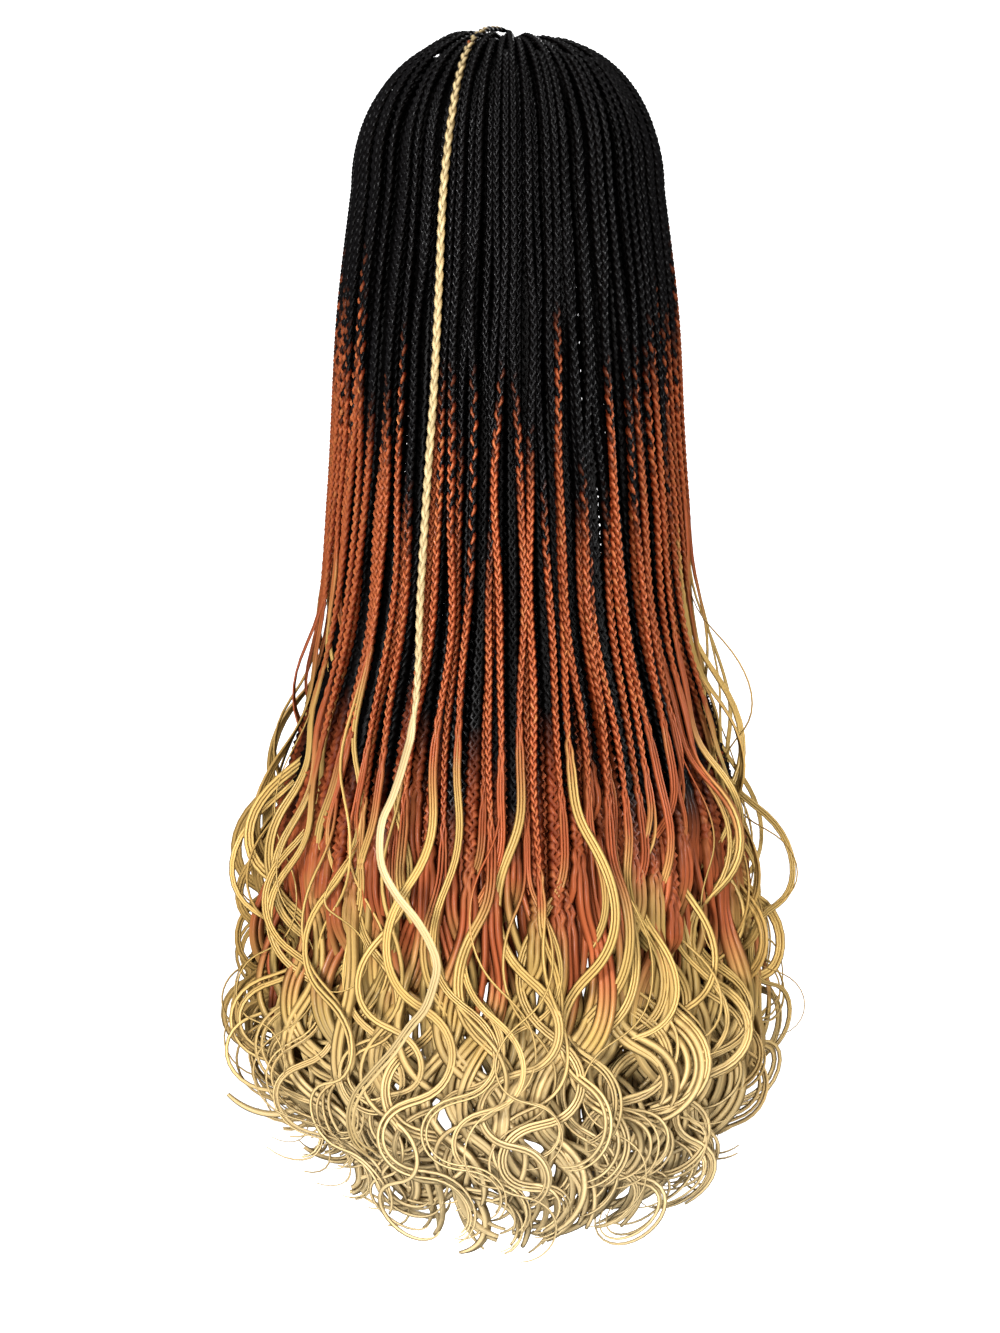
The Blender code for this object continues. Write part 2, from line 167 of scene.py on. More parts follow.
# Braids that stand clear of the crown near their roots, as seen on the outline
ARCHES = (
    # azimuth, height
    (-104.0, 0.0036),
    (-86.0, 0.0050),
    (-66.0, 0.0044),
    (-48.0, 0.0026),
    (92.0, 0.0020),
    (112.0, 0.0014),
)
ARCH_PEAK = 0.013
ARCH_END = 0.062

# The heights at which the shades change, at the back centre and at the sides
SHADES = (
    # sideways, copper z, blonde z
    (0.0, -0.310, -0.490),
    (0.5, -0.286, -0.468),
    (0.85, -0.238, -0.388),
    (1.0, -0.212, -0.336),
)

# How low the curls hang, by sideways place
HEMS = (
    # sideways, z
    (0.0, -0.803),
    (0.5, -0.793),
    (0.85, -0.768),
    (1.0, -0.742),
)

# The highlight braid's line over the crown, as seen from above
HIGHLIGHT_CROWN = (
    # x, y, height over the outer surface
    (0.0045, -0.0040, -0.0040),
    (0.0010, -0.0062, 0.0005),
    (-0.0030, -0.0100, 0.0010),
    (-0.0090, -0.0240, 0.0006),
    (-0.0160, -0.0470, 0.0008),
    (-0.0255, -0.0774, 0.0018),
    (-0.0315, -0.0980, 0.0026),
    (-0.0380, -0.1140, 0.0030),
)

# The highlight braid's line down the back and its curl, as seen from behind
HIGHLIGHT_BACK = (
    # x, z, distance out from the hanging surface
    (-0.0412, -0.103, 0.0030),
    (-0.0444, -0.170, 0.0030),
    (-0.0477, -0.237, 0.0030),
    (-0.0524, -0.304, 0.0034),
    (-0.0564, -0.371, 0.0040),
    (-0.0590, -0.435, 0.0065),
    (-0.0624, -0.460, 0.0090),
)
HIGHLIGHT_CURL = (
    # x, z, distance out from the hanging surface
    (-0.0624, -0.460, 0.009),
    (-0.0697, -0.485, 0.014),
    (-0.0743, -0.498, 0.017),
    (-0.0797, -0.510, 0.020),
    (-0.0816, -0.523, 0.022),
    (-0.0802, -0.539, 0.025),
    (-0.0714, -0.556, 0.027),
    (-0.0575, -0.573, 0.030),
    (-0.0494, -0.587, 0.031),
    (-0.0453, -0.600, 0.032),
    (-0.0481, -0.614, 0.031),
    (-0.0535, -0.628, 0.030),
    (-0.0619, -0.638, 0.029),
    (-0.0739, -0.655, 0.028),
    (-0.0870, -0.670, 0.028),
    (-0.0983, -0.685, 0.028),
    (-0.1027, -0.704, 0.024),
    (-0.0965, -0.722, 0.016),
    (-0.0808, -0.731, 0.008),
    (-0.0680, -0.726, 0.004),
)

# What the materials read from a mesh
UV_NAME = "OFBake"
SHADE = "shade"
TONE = "tone"
# The painted light on the hair: 1 on crests, lower where painted shade darkens creases, sides and inner
# hair
PAINTED_LIGHT = "crest"
SPAN = "span"

# The heights over which the shades change, and how far the blonde pales to the tips
COPPER_FADE = 0.085
BLONDE_FADE = 0.070
PALE_SHADE = 2.5
PALING = 0.46
PALING_Z = -0.60
PALING_DROP = 0.16

# The fibres that the material shows: how many to a metre of hair's width, and how many along
# the whole length of the UV map
FIBRES_ACROSS = 1150.0
FIBRES_ALONG = 13.0

# How finely the tubes are divided
RINGS_IN_PLAIT = 9
RINGS_IN_INNER_PLAIT = 4.0
CURL_STEPS = 300
CURL_RINGS = 68

# The groups in which curls turn together, and the flat ribbons of one lock: the painted light
# where a loose ribbon leaves its braid, and the share of it at its sides, which are painted darker
TUFTS = 26
LOOSE_PAINTED_LIGHT = 0.66
LOOSE_SIDE_PAINTED_LIGHT = 0.50
RIBBON_SPACING = 1.3
CURL_SWAY = 0.007

# How far a curl leans over one turn: a full rounded wave, and a share of the turn in its hook
SWING_FULLNESS = 0.92
SWING_WIDTH = 1.168
HOOK_SWING = 0.788

# How the three strands of an outer braid divide into locks, and how often
DIVISIONS = (
    (0.64, ((0, 1, 2),)),
    (0.15, ((0, 1), (2,))),
    (0.15, ((0,), (1, 2))),
    (0.06, ((0,), (1,), (2,))),
)


class WigBraids(bpy.types.PropertyGroup):
    outer_in_piece: IntProperty(
        name="Outer braids per piece",
        description="Outer braids that stand for one CAD row",
        default=6,
        min=1,
    )
    inner_in_piece: IntProperty(
        name="Inner braids per piece",
        description="Inner braids that stand for one inner CAD row",
        default=16,
        min=1,
    )
    plait: FloatProperty(
        name="Plait length",
        description="Length in which each strand crosses the braid and comes back",
        default=0.0180,
        unit="LENGTH",
    )
    swing: FloatProperty(
        name="Strand swing",
        description="How far a strand goes to each side of its braid's middle",
        default=0.00155,
        unit="LENGTH",
    )
    weave: FloatProperty(
        name="Strand weave",
        description="How far a strand goes over and under the others",
        default=0.00085,
        unit="LENGTH",
    )
    strand: FloatProperty(
        name="Strand half width",
        description="Half width of one of a braid's three strands",
        default=0.00175,
        unit="LENGTH",
    )
    rise: FloatProperty(
        name="Rise",
        description="Length over which a braid rises from the cap",
        default=0.034,
        unit="LENGTH",
    )


class WigCurls(bpy.types.PropertyGroup):
    wave: FloatProperty(
        name="Wave length",
        description="Length along a curl in which it swings to both sides, near its braid",
        default=0.185,
        unit="LENGTH",
    )
    tightening: FloatProperty(
        name="Tightening",
        description="Share of the wave length that is left at a curl's tip",
        default=0.68,
        subtype="FACTOR",
    )
    lean: FloatProperty(
        name="Lean",
        description="How far a curl leans to each side near its braid",
        default=0.60,
        subtype="ANGLE",
    )
    loop: FloatProperty(
        name="Loop",
        description="How far a curl leans to each side near its tip, where it closes into loops",
        default=1.38,
        subtype="ANGLE",
    )
    ribbon: FloatProperty(
        name="Ribbon half width",
        description="Half width of one of the flat ribbons that lie side by side in a lock",
        default=0.00140,
        unit="LENGTH",
    )
    wisps_in_piece: IntProperty(
        name="Wisps per piece",
        description="Thin stray locks beside the curls of one outer CAD row",
        default=1,
        min=0,
    )


class WigColours(bpy.types.PropertyGroup):
    black: FloatVectorProperty(
        name="Black",
        description="Colour of the hair at the roots",
        default=(0.0024, 0.0021, 0.0025),
        subtype="COLOR",
    )
    copper: FloatVectorProperty(
        name="Copper",
        description="Colour of the middle lengths",
        default=(0.360, 0.092, 0.031),
        subtype="COLOR",
    )
    blonde: FloatVectorProperty(
        name="Blonde",
        description="Colour of the curls",
        default=(0.470, 0.312, 0.100),
        subtype="COLOR",
    )
    pale: FloatVectorProperty(
        name="Pale blonde",
        description="Colour of the highlight braid",
        default=(0.620, 0.480, 0.255),
        subtype="COLOR",
    )
    # Painted shade: the hair's colour is multiplied by this depth tint where strands lie under others,
    # at the tubes' sides and deep in the hair
    depth: FloatVectorProperty(
        name="Depth tint",
        description="What the hair's colour is multiplied by where strands lie under others",
        default=(0.220, 0.095, 0.040),
        subtype="COLOR",
    )
    # The same painted shade, for the highlight braid
    pale_painted_shade: FloatVectorProperty(
        name="Pale depth tint",
        description="The same for the highlight braid",
        default=(0.300, 0.220, 0.110),
        subtype="COLOR",
    )
    cap: FloatVectorProperty(
        name="Cap",
        description="Colour of the stretch cap",
        default=(0.012, 0.012, 0.013),
        subtype="COLOR",
    )


class WigStage(bpy.types.PropertyGroup):
    distance: FloatProperty(
        name="Camera distance",
        description="Distance from the camera to the middle of the wig",
        default=2.6,
        unit="LENGTH",
    )
    view_height: FloatProperty(
        name="View height",
        description="Height of the picture at the middle of the wig",
        default=0.896,
        unit="LENGTH",
    )
    aim: FloatVectorProperty(
        name="Aim",
        description="The point at the picture's middle",
        default=(-0.0054, 0.0, -0.416),
        subtype="TRANSLATION",
    )
    camera_rise: FloatProperty(
        name="Camera rise",
        description="How far the camera stands above the aim",
        default=0.045,
        unit="LENGTH",
    )
    floor_z: FloatProperty(
        name="Floor level",
        description="Height of the floor under the hung wig",
        default=-1.15,
        unit="LENGTH",
    )


def smooth(share):
    share = np.clip(share, 0.0, 1.0)
    return share * share * (3.0 - 2.0 * share)


def mix(first, second, share):
    return first + (second - first) * share


def read_table(table, at):
    """The other columns of a table, whose first one rises, at values of its first one."""
    rows = np.array(table, float)
    at = np.clip(np.asarray(at, float), rows[0, 0], rows[-1, 0])
    place = np.clip(np.searchsorted(rows[:, 0], at), 1, len(rows) - 1)
    slopes = np.gradient(rows[:, 1:], rows[:, 0], axis=0)
    low, high = rows[place - 1], rows[place]
    step = (high[..., 0] - low[..., 0])[..., None]
    share = (at[..., None] - low[..., :1]) / step
    square, cube = share**2, share**3
    found = (
        (2 * cube - 3 * square + 1) * low[..., 1:]
        + (cube - 2 * square + share) * slopes[place - 1] * step
        + (3 * square - 2 * cube) * high[..., 1:]
        + (cube - square) * slopes[place] * step
    )
    return np.moveaxis(found, -1, 0)


def sideways(azimuth):
    """0 at the back centre, 1 from the sides forward."""
    return 1.0 if abs(azimuth) > 90.0 else math.sin(math.radians(abs(azimuth)))


def root_of(azimuth):
    """Where the braids at an azimuth start, seen from above: round the whorl, or along the parting."""
    turn = abs(azimuth)
    if turn <= WHORL_AZIMUTH:
        angle = math.radians(90.0 * turn / WHORL_AZIMUTH)
        x = WHORL_RADIUS * math.sin(angle)
        y = WHORL_Y - WHORL_RADIUS * math.cos(angle)
    else:
        share = (turn - WHORL_AZIMUTH) / (FACE_EDGE_AZIMUTH - WHORL_AZIMUTH)
        x = mix(WHORL_RADIUS, PARTING_HALF_GAP, min(1.0, 2.0 * share))
        y = mix(WHORL_Y, PARTING_END_Y, share)
    return math.copysign(x, azimuth), y


def dome_z(x, y):
    """Height of the outer surface over points seen from above."""
    front = np.where(y > 0.0, FRONT_SHARE, 1.0)
    radius = np.hypot(x / DOME_HALF_WIDTH, y / (DOME_HALF_LENGTH * front))
    fullness = mix(DOME_FULLNESS, FRONT_FULLNESS, smooth(y / PARTING_END_Y))
    left = np.maximum(1.0 - radius**fullness, 0.0)
    dip = DIP * np.exp(-(((x - DIP_X) / DIP_WIDTH) ** 2) - (y / DIP_LENGTH) ** 2)
    return BROW_Z + DOME_HEIGHT * np.sqrt(left) - dip


def over_crown(azimuth, stations):
    """Points on the outer surface between the whorl or parting and brow level."""
    root_x, root_y = root_of(azimuth)
    angle = math.radians(azimuth)
    half_length = DOME_HALF_LENGTH * (FRONT_SHARE if math.cos(angle) < 0.0 else 1.0)
    along = np.sin(0.5 * math.pi * stations)
    x = mix(root_x, DOME_HALF_WIDTH * math.sin(angle), along)
    y = mix(root_y, -half_length * math.cos(angle), along)
    return np.stack([x, y, dome_z(x, y)], 1)


def hanging(azimuths, levels):
    """Points on the hanging hair's outer surface."""
    half_width, half_depth = read_table(HANGING, levels)
    closed = CLOSING_SHARE * smooth((BROW_Z - levels) / CLOSING_DROP)
    angles = np.radians(azimuths * (1.0 + closed))
    front = np.where(np.cos(angles) < 0.0, FRONT_SHARE, 1.0)
    x = half_width * np.sin(angles)
    y = -half_depth * front * np.cos(angles)
    return np.stack([x, y, np.broadcast_to(levels, x.shape)], 1)


def out_of(points):
    """Directions out of the hair's outer surface at points on it."""
    half_width, half_depth = read_table(HANGING, np.minimum(points[:, 2], BROW_Z))
    above = np.maximum(points[:, 2] - BROW_Z, 0.0)
    x = points[:, 0] / half_width**2
    y = points[:, 1] / half_depth**2
    return unit(np.stack([x, y, above / DOME_HEIGHT**2], 1))


def unit(vectors):
    return vectors / np.maximum(np.linalg.norm(vectors, axis=1), 1e-12)[:, None]


def distances(points):
    """Distance along a line to each of its points."""
    steps = np.linalg.norm(np.diff(points, axis=0), axis=1)
    return np.concatenate([[0.0], np.cumsum(steps)])


def respaced(points, spacing):
    """The same line with points at an even spacing."""
    along = distances(points)
    count = max(4, round(along[-1] / spacing) + 1)
    places = np.linspace(0.0, along[-1], count)
    return np.stack([np.interp(places, along, column) for column in points.T], 1)


def on_cap(points, stand_off):
    """The points of a surface round the cap that lie under points outside it."""
    middle = np.array([0.0, 0.0, BROW_Z])
    reach = np.array(HEAD_HALF) + CAP_WALL + stand_off
    away = points - middle
    return middle + away / np.linalg.norm(away / reach, axis=1)[:, None]


def spline_through(points, spacing):
    """A smooth line through points, at an even spacing."""
    points = np.array(points, float)
    along = distances(points)
    fine = np.linspace(0.0, along[-1], 40 * len(points))
    curve = np.stack(read_table(np.column_stack([along, points]), fine), 1)
    return respaced(curve, spacing)


def directions(line):
    """Three directions at each point of a line on the hair: along it, across it and out of the hair."""
    along = unit(np.gradient(line, axis=0))
    out = out_of(line)
    out = unit(out - along * np.sum(out * along, axis=1)[:, None])
    return along, np.cross(along, out), out


def add_object(name, data, material=None):
    """An object in the scene, smooth and with a material where it is a mesh."""
    if material:
        data.shade_smooth()
        data.materials.append(material)
    made = bpy.data.objects.new(name, data)
    bpy.context.scene.collection.objects.link(made)
    return made


def mesh_of(shape, name):
    mesh = bpy.data.meshes.new(name)
    shape.to_mesh(mesh)
    shape.free()
    return mesh


class Strands:
    """The tubes of one piece, gathered and then made into one mesh."""

    def __init__(self):
        self.tubes = []

    def add(self, line, across, out, half_width, half_depth, shade, crest, edge, corners, tone):
        """A tube along a line. Its sizes, shade, crest and edge are one number each, or one for
        each point of the line. The crest is the painted light on the tube: how far it stands clear
        of its neighbours, lower where painted shade darkens it. The edge is the share of that
        painted light at its sides, which are painted darker."""
        turns = 2.0 * np.pi * np.arange(corners) / corners + 0.5 * np.pi
        wide = np.broadcast_to(half_width, len(line))[:, None, None]
        deep = np.broadcast_to(half_depth, len(line))[:, None, None]
        section = across[:, None] * wide * np.cos(turns)[None, :, None]
        section = section + out[:, None] * deep * np.sin(turns)[None, :, None]
        crests = np.broadcast_to(crest, len(line))[:, None]
        edges = np.broadcast_to(edge, len(line))[:, None]
        # Painted light: full on the tube's outward corner, the edge share on its other corners
        top = np.clip(np.sin(turns), 0.0, 1.0)[None]
        self.tubes.append(
            {
                "points": (line[:, None] + section).reshape(-1, 3),
                "rings": len(line),
                "corners": corners,
                "along": distances(line),
                "girth": 4.4 * float(np.max(wide)),
                SHADE: np.repeat(np.broadcast_to(shade, len(line)), corners),
                TONE: np.full(len(line) * corners, tone),
                PAINTED_LIGHT: (crests * mix(edges, 1.0, top)).ravel(),
            }
        )

    def piece(self, name, material):
        """One object with all the tubes, a UV strip for each, and attributes for their looks."""
        longest = max(tube["along"][-1] for tube in self.tubes)
        total = sum(tube["girth"] for tube in self.tubes)
        points, loops, sizes, maps = [], [], [], []
        base = 0
        left = 0.0
        for tube in self.tubes:
            rings, corners = tube["rings"], tube["corners"]
            strip = tube["girth"] / total
            ring, side = np.meshgrid(
                np.arange(rings - 1), np.arange(corners), indexing="ij"
            )
            ring, side = ring.ravel(), side.ravel()
            beside = (side + 1) % corners
            quads = np.stack(
                [
                    ring * corners + side,
                    (ring + 1) * corners + side,
                    (ring + 1) * corners + beside,
                    ring * corners + beside,
                ],
                1,
            )
            height = 0.01 + 0.98 * tube["along"] / longest
            across = left + strip * (0.06 + 0.88 * np.arange(corners + 1) / corners)
            u = np.stack([across[side], across[side], across[side + 1], across[side + 1]], 1)
            v = np.stack([height[ring], height[ring + 1], height[ring + 1], height[ring]], 1)
            ends = np.array([np.arange(corners), np.arange(corners)[::-1]])
            ends[1] += (rings - 1) * corners
            end_u = left + strip * np.array([0.1, 0.9, 0.5, 0.3])[np.arange(corners) % 4]
            end_v = np.repeat([[height[0]], [height[-1]]], corners, 1)
            points.append(tube["points"])
            loops += [base + quads.ravel(), base + ends.ravel()]
            sizes += [np.full(len(quads), 4), np.full(2, corners)]
            maps.append(np.stack([u.ravel(), v.ravel()], 1))
            maps.append(np.stack([np.tile(end_u, 2), end_v.ravel()], 1))
            base += len(tube["points"])
            left += strip
        points = np.concatenate(points)
        loops, sizes, maps = map(np.concatenate, (loops, sizes, maps))
        starts = np.concatenate([[0], np.cumsum(sizes)[:-1]])
        mesh = bpy.data.meshes.new(name)
        mesh.vertices.add(len(points))
        mesh.vertices.foreach_set("co", points.ravel())
        mesh.loops.add(len(loops))
        mesh.loops.foreach_set("vertex_index", loops.astype(np.int32))
        mesh.polygons.add(len(sizes))
        mesh.polygons.foreach_set("loop_start", starts.astype(np.int32))
        mesh.polygons.foreach_set("loop_total", sizes.astype(np.int32))
        mesh.update(calc_edges=True)
        mesh.uv_layers.new(name=UV_NAME)
        mesh.uv_layers[UV_NAME].uv.foreach_set("vector", maps.astype(np.float32).ravel())
        columns = {
            key: np.concatenate([tube[key] for tube in self.tubes]) for key in (SHADE, TONE, PAINTED_LIGHT)
        }
        columns[SPAN] = np.full(len(points), total)
        for key, values in columns.items():
            layer = mesh.attributes.new(key, "FLOAT", "POINT")
            layer.data.foreach_set("value", values.astype(np.float32))
        mesh.validate()
        return add_object(name, mesh, material)


class Wire:
    """A shader socket that can stand in sums."""

    def __init__(self, graph, socket):
        self.graph = graph
        self.socket = socket

    def __add__(self, other):
        return self.graph.maths("ADD", self, other)

    def __sub__(self, other):
        return self.graph.maths("SUBTRACT", self, other)

    def __rsub__(self, other):
        return self.graph.maths("SUBTRACT", other, self)

    def __mul__(self, other):
        return self.graph.maths("MULTIPLY", self, other)

    __radd__ = __add__
    __rmul__ = __mul__


class Graph:
    """A material's node tree, with its Principled shader."""

    def __init__(self, name, **constants):
        self.material = bpy.data.materials.new(name)
        self.material.use_nodes = True
        self.tree = self.material.node_tree
        self.shader = self.tree.nodes["Principled BSDF"]
        for socket, value in constants.items():
            self.shader.inputs[socket.replace("_", " ")].default_value = value

    def node(self, kind, output=0, settings=(), **inputs):
        """A node with its settings and its inputs, which are wires or values. Gives a wire."""
        made = self.tree.nodes.new(kind)
        for key, value in settings:
            setattr(made, key, value)
        for key, value in inputs.items():
            self.join(value, made.inputs[key.replace("_", " ")])
        return Wire(self, made.outputs[output])

    def join(self, value, socket):
        if isinstance(value, Wire):
            self.tree.links.new(value.socket, socket)
        else:
            socket.default_value = value

    def maths(self, operation, first, second):
        made = self.tree.nodes.new("ShaderNodeMath")
        made.operation = operation
        self.join(first, made.inputs[0])
        self.join(second, made.inputs[1])
        return Wire(self, made.outputs[0])

    def blended(self, share, first, second, blend_type="MIX"):
        """Two colours mixed."""
        made = self.tree.nodes.new("ShaderNodeMix")
        made.data_type = "RGBA"
        made.blend_type = blend_type
        self.join(share, made.inputs[0])
        self.join(first, made.inputs[6])
        self.join(second, made.inputs[7])
        return Wire(self, made.outputs[2])

    def scaled(self, vector, scale):
        """A vector multiplied by another."""
        made = self.tree.nodes.new("ShaderNodeVectorMath")
        made.operation = "MULTIPLY"
        self.join(vector, made.inputs[0])
        self.join(scale, made.inputs[1])
        return Wire(self, made.outputs[0])

    def attribute(self, name):
        return self.node(
            "ShaderNodeAttribute", output="Fac", settings=[("attribute_name", name)]
        )

    def feed(self, socket, wire):
        self.join(wire, self.shader.inputs[socket])


def coloured(colour):
    return (*colour, 1.0)


def hair_material(colours):
    """Synthetic hair: shades along its length, a tone for each strand, painted shade where
    strands cross under others, at the tubes' sides and deep in the hair, and fine fibres along it."""
    graph = Graph("braiding_hair", Specular_IOR_Level=0.06, Coat_Roughness=0.24)
    shade = graph.attribute(SHADE)
    tone = graph.attribute(TONE)
    crest = graph.attribute(PAINTED_LIGHT)
    place = graph.node("ShaderNodeUVMap", settings=[("uv_map", UV_NAME)])
    across = FIBRES_ACROSS * graph.attribute(SPAN)
    stretch = graph.node("ShaderNodeCombineXYZ", X=across, Y=FIBRES_ALONG)
    fibres = graph.node(
        "ShaderNodeTexNoise",
        output="Fac",
        Vector=graph.scaled(place, stretch),
        Scale=1.0,
        Detail=2.0,
    )

    def turning(first_shade, last_shade, first, second):
        share = graph.node(
            "ShaderNodeMapRange", Value=shade, From_Min=first_shade, From_Max=last_shade
        )
        return graph.blended(share, first, second)

    copper = turning(0.1, 1.0, coloured(colours.black), coloured(colours.copper))
    blonde = turning(1.05, 1.95, copper, coloured(colours.blonde))
    pale = turning(2.0, PALE_SHADE, blonde, coloured(colours.pale))
    # Painted shade colour: the depth tint, turning to the pale one on the highlight braid
    under = turning(1.2, PALE_SHADE, coloured(colours.depth), coloured(colours.pale_painted_shade))
    # Painted shade: the tint where the painted light is 0, white where it is 1
    depth = graph.blended(crest, under, (1.0, 1.0, 1.0, 1.0))
    # The light is each strand's tone, which also holds painted shade for the inner hair, the backing
    # locks and the highlight's creases, varied by the fibres
    light = 0.5 * tone + fibres
    grey = graph.node("ShaderNodeCombineColor", Red=light, Green=light, Blue=light)
    # The hair's colours with the painted shade multiplied in
    with_painted_shade = graph.blended(1.0, pale, depth, "MULTIPLY")
    graph.feed("Base Color", graph.blended(1.0, with_painted_shade, grey, "MULTIPLY"))
    graph.feed("Roughness", 0.40 + 0.20 * fibres)
    shine = graph.node("ShaderNodeMapRange", Value=fibres, From_Min=0.40, From_Max=0.70)
    # The coat is weighted by the same painted light, so it shines less in the painted shade of creases
    # and sides
    graph.feed("Coat Weight", crest * (0.04 + 0.42 * shine))
    graph.feed(
        "Normal",
        graph.node("ShaderNodeBump", Height=fibres, Strength=0.35, Distance=0.0004),
    )
    return graph.material


def cap_material(colours):
    """Black stretch knit with fine ribs."""
    graph = Graph("cap_knit", Roughness=0.85)
    place = graph.node("ShaderNodeUVMap", settings=[("uv_map", UV_NAME)])
    ribs = graph.node(
        "ShaderNodeTexWave",
        output="Fac",
        Vector=graph.scaled(place, (60.0, 1.0, 1.0)),
        Scale=1.0,
        Distortion=0.6,
    )
    graph.feed(
        "Base Color",
        graph.blended(ribs, coloured(colours.cap), coloured(2.2 * c for c in colours.cap)),
    )
    graph.feed("Normal", graph.node("ShaderNodeBump", Height=ribs, Strength=0.3, Distance=0.0003))
    return graph.material


def shared_material(name, build):
    found = bpy.data.materials.get(name)
    return found or build(bpy.context.scene.wig_colours)


def placed(piece, slot, *nodes):
    """Hangs a finished piece on the CAD body in place of its CAD nodes."""
    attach(piece, "root")
    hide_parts(*nodes)


def wander(rng, levels, size):
    """A slow sideways drift along a hanging braid."""
    drop = BROW_Z - levels
    drift = np.zeros_like(levels)
    for length in (0.43, 0.21, 0.12):
        start = rng.uniform(0.0, 2.0 * np.pi)
        drift += size * (length / 0.43) * np.sin(2.0 * np.pi * drop / length + start)
    return drift * smooth(drop / 0.10)


def outer_braid_line(rng, azimuth, layer, depth, gathered, end_z, arch, settings):
    """The middle line of an outer braid, from the cap over the crown and down to its end."""
    stations = np.linspace(layer, 1.0, 80)[:-1]
    levels = np.linspace(BROW_Z, end_z, 120)
    half_width, _ = read_table(HANGING, levels)
    pull = gathered * smooth((BROW_Z - levels) / 0.20) + wander(rng, levels, 0.0020)
    crown = over_crown(azimuth, stations)
    hung = hanging(azimuth + np.degrees(pull / half_width), levels)
    surface = np.concatenate([crown, hung])
    out = out_of(surface)
    thickness = settings.strand + settings.weave
    line = surface - out * (depth + thickness)
    run = distances(line)
    risen = smooth(run / settings.rise)[:, None]
    line = mix(on_cap(line, 0.6 * thickness), line, risen)
    lifted = np.minimum(run / ARCH_PEAK, (ARCH_END - run) / (ARCH_END - ARCH_PEAK))
    line = line + out * (arch * smooth(lifted))[:, None]
    return respaced(line, settings.plait / RINGS_IN_PLAIT)


def inner_braid_line(rng, azimuth, depth, end_z, settings):
    """The middle line of an inner braid, from the cap under the outer braids down to its end."""
    stations = np.linspace(INNER_ROOT, 1.0, 60)[:-1]
    levels = np.linspace(BROW_Z, end_z, 110)
    half_width, _ = read_table(HANGING, levels)
    drift = wander(rng, levels, 0.0005)
    hung = hanging(azimuth + np.degrees(drift / half_width), levels)
    surface = np.concatenate([over_crown(azimuth, stations), hung])
    line = surface - out_of(surface) * depth
    line = mix(on_cap(line, 0.0022), line, smooth(distances(line) / settings.rise)[:, None])
    return respaced(line, settings.plait / RINGS_IN_INNER_PLAIT)


def shade_at(levels, copper_z, blonde_z):
    """The shade at heights, for hair that turns copper and then blonde round two of them, and
    pales to its tips."""
    copper = smooth((copper_z - levels) / COPPER_FADE + 0.5) ** 1.5
    blonde = smooth((blonde_z - levels) / BLONDE_FADE + 0.5)
    return copper + blonde + PALING * smooth((PALING_Z - levels) / PALING_DROP)


def plaited(rng, line, settings, size, marks, spacing, plait):
    """The three strands of a braid along its middle line. Near its end they stop crossing and
    lie side by side at a spacing. The marks are the heights of the two changes of shade, and
    each strand's own shifts of them."""
    _, across, out = directions(line)
    run = distances(line)
    copper_z, blonde_z, shifts = marks
    left = run[-1] - run
    grown = size * mix(0.72, 1.0, smooth(run / 0.03)) * mix(0.84, 1.0, smooth(left / 0.12))
    held = smooth(left / 0.035)
    start = rng.uniform(0.0, 2.0 * np.pi)
    turns = 2.0 * np.pi * (run / plait + np.arange(3)[:, None] / 3.0) + start
    places = np.argsort(np.argsort(np.sin(turns[:, -1]))) - 1.0
    strands = []
    for strand, (turn, place) in enumerate(zip(turns, places)):
        above = -np.sin(2.0 * turn)
        aside = mix(place * spacing, settings.swing * grown * np.sin(turn), held)
        over = settings.weave * grown * above * held
        mottle = np.interp(run, run[::6], rng.normal(0.0, 0.10, len(run[::6])))
        shade = shade_at(line[:, 2], copper_z + shifts[strand, 0], blonde_z + shifts[strand, 1])
        strands.append(
            {
                "line": line + across * aside[:, None] + out * over[:, None],
                "across": across,
                "out": out,
                "half_width": settings.strand * grown,
                "half_depth": 0.84 * settings.strand * grown,
                SHADE: shade + mottle * np.clip(shade, 0.0, 1.0),
                # Painted shade where a strand passes under the others, and at its sides near the
                # braid's end
                PAINTED_LIGHT: mix(LOOSE_PAINTED_LIGHT, smooth(0.5 + 0.62 * above), smooth(left / 0.05)),
                "edge": LOOSE_SIDE_PAINTED_LIGHT * (1.0 - smooth(left / 0.05)),
                "place": place,
            }
        )
    return sorted(strands, key=lambda strand: strand["place"])


def tufts_round_head(curls):
    """How the curls of each tuft turn together, from one face edge round the back to the other."""
    rng = np.random.default_rng((SEED, 400))
    reach = FACE_EDGE_AZIMUTH * (1.0 - 1.0 / TUFTS)
    return [
        {
            "azimuth": azimuth,
            "end": rng.uniform(0.45, 0.90) * np.pi,
            "hand": 1.0 if rng.random() < 0.5 else -1.0,
            "facing": rng.normal(0.0, 0.35) + rng.choice((-0.75, 0.75)) * sideways(azimuth) ** 2,
            "wave": curls.wave * rng.uniform(0.88, 1.14),
            "lean": curls.lean * rng.uniform(0.75, 1.20),
            "loop": curls.loop * rng.uniform(0.85, 1.15),
        }
        for azimuth in np.linspace(-reach, reach, TUFTS)
    ]


def tuft_for(rng, tufts, azimuth, strays, gathered):
    """The way one curl turns: nearly as its tuft does or, for some strays, as a tuft nearby does."""
    step = 2.0 * FACE_EDGE_AZIMUTH / TUFTS
    place = (azimuth + FACE_EDGE_AZIMUTH) / step - 0.5
    if rng.random() < strays:
        place += rng.uniform(-2.0, 2.0)
    own = dict(tufts[min(max(round(place), 0), TUFTS - 1)])
    own["azimuth"] = mix(azimuth, own["azimuth"], gathered)
    own["end"] += rng.normal(0.0, 0.28)
    own["facing"] += rng.normal(0.0, 0.15)
    own["wave"] *= rng.uniform(0.96, 1.04)
    own["lean"] *= rng.uniform(0.85, 1.15)
    own["loop"] *= rng.uniform(0.90, 1.10)
    own["drift"] = rng.uniform(0.0, 2.0 * np.pi)
    return own


def added_up(values):
    """The running sum of values along a line, from nothing at its start."""
    return np.concatenate([[0.0], np.cumsum(0.5 * (values[1:] + values[:-1]))])


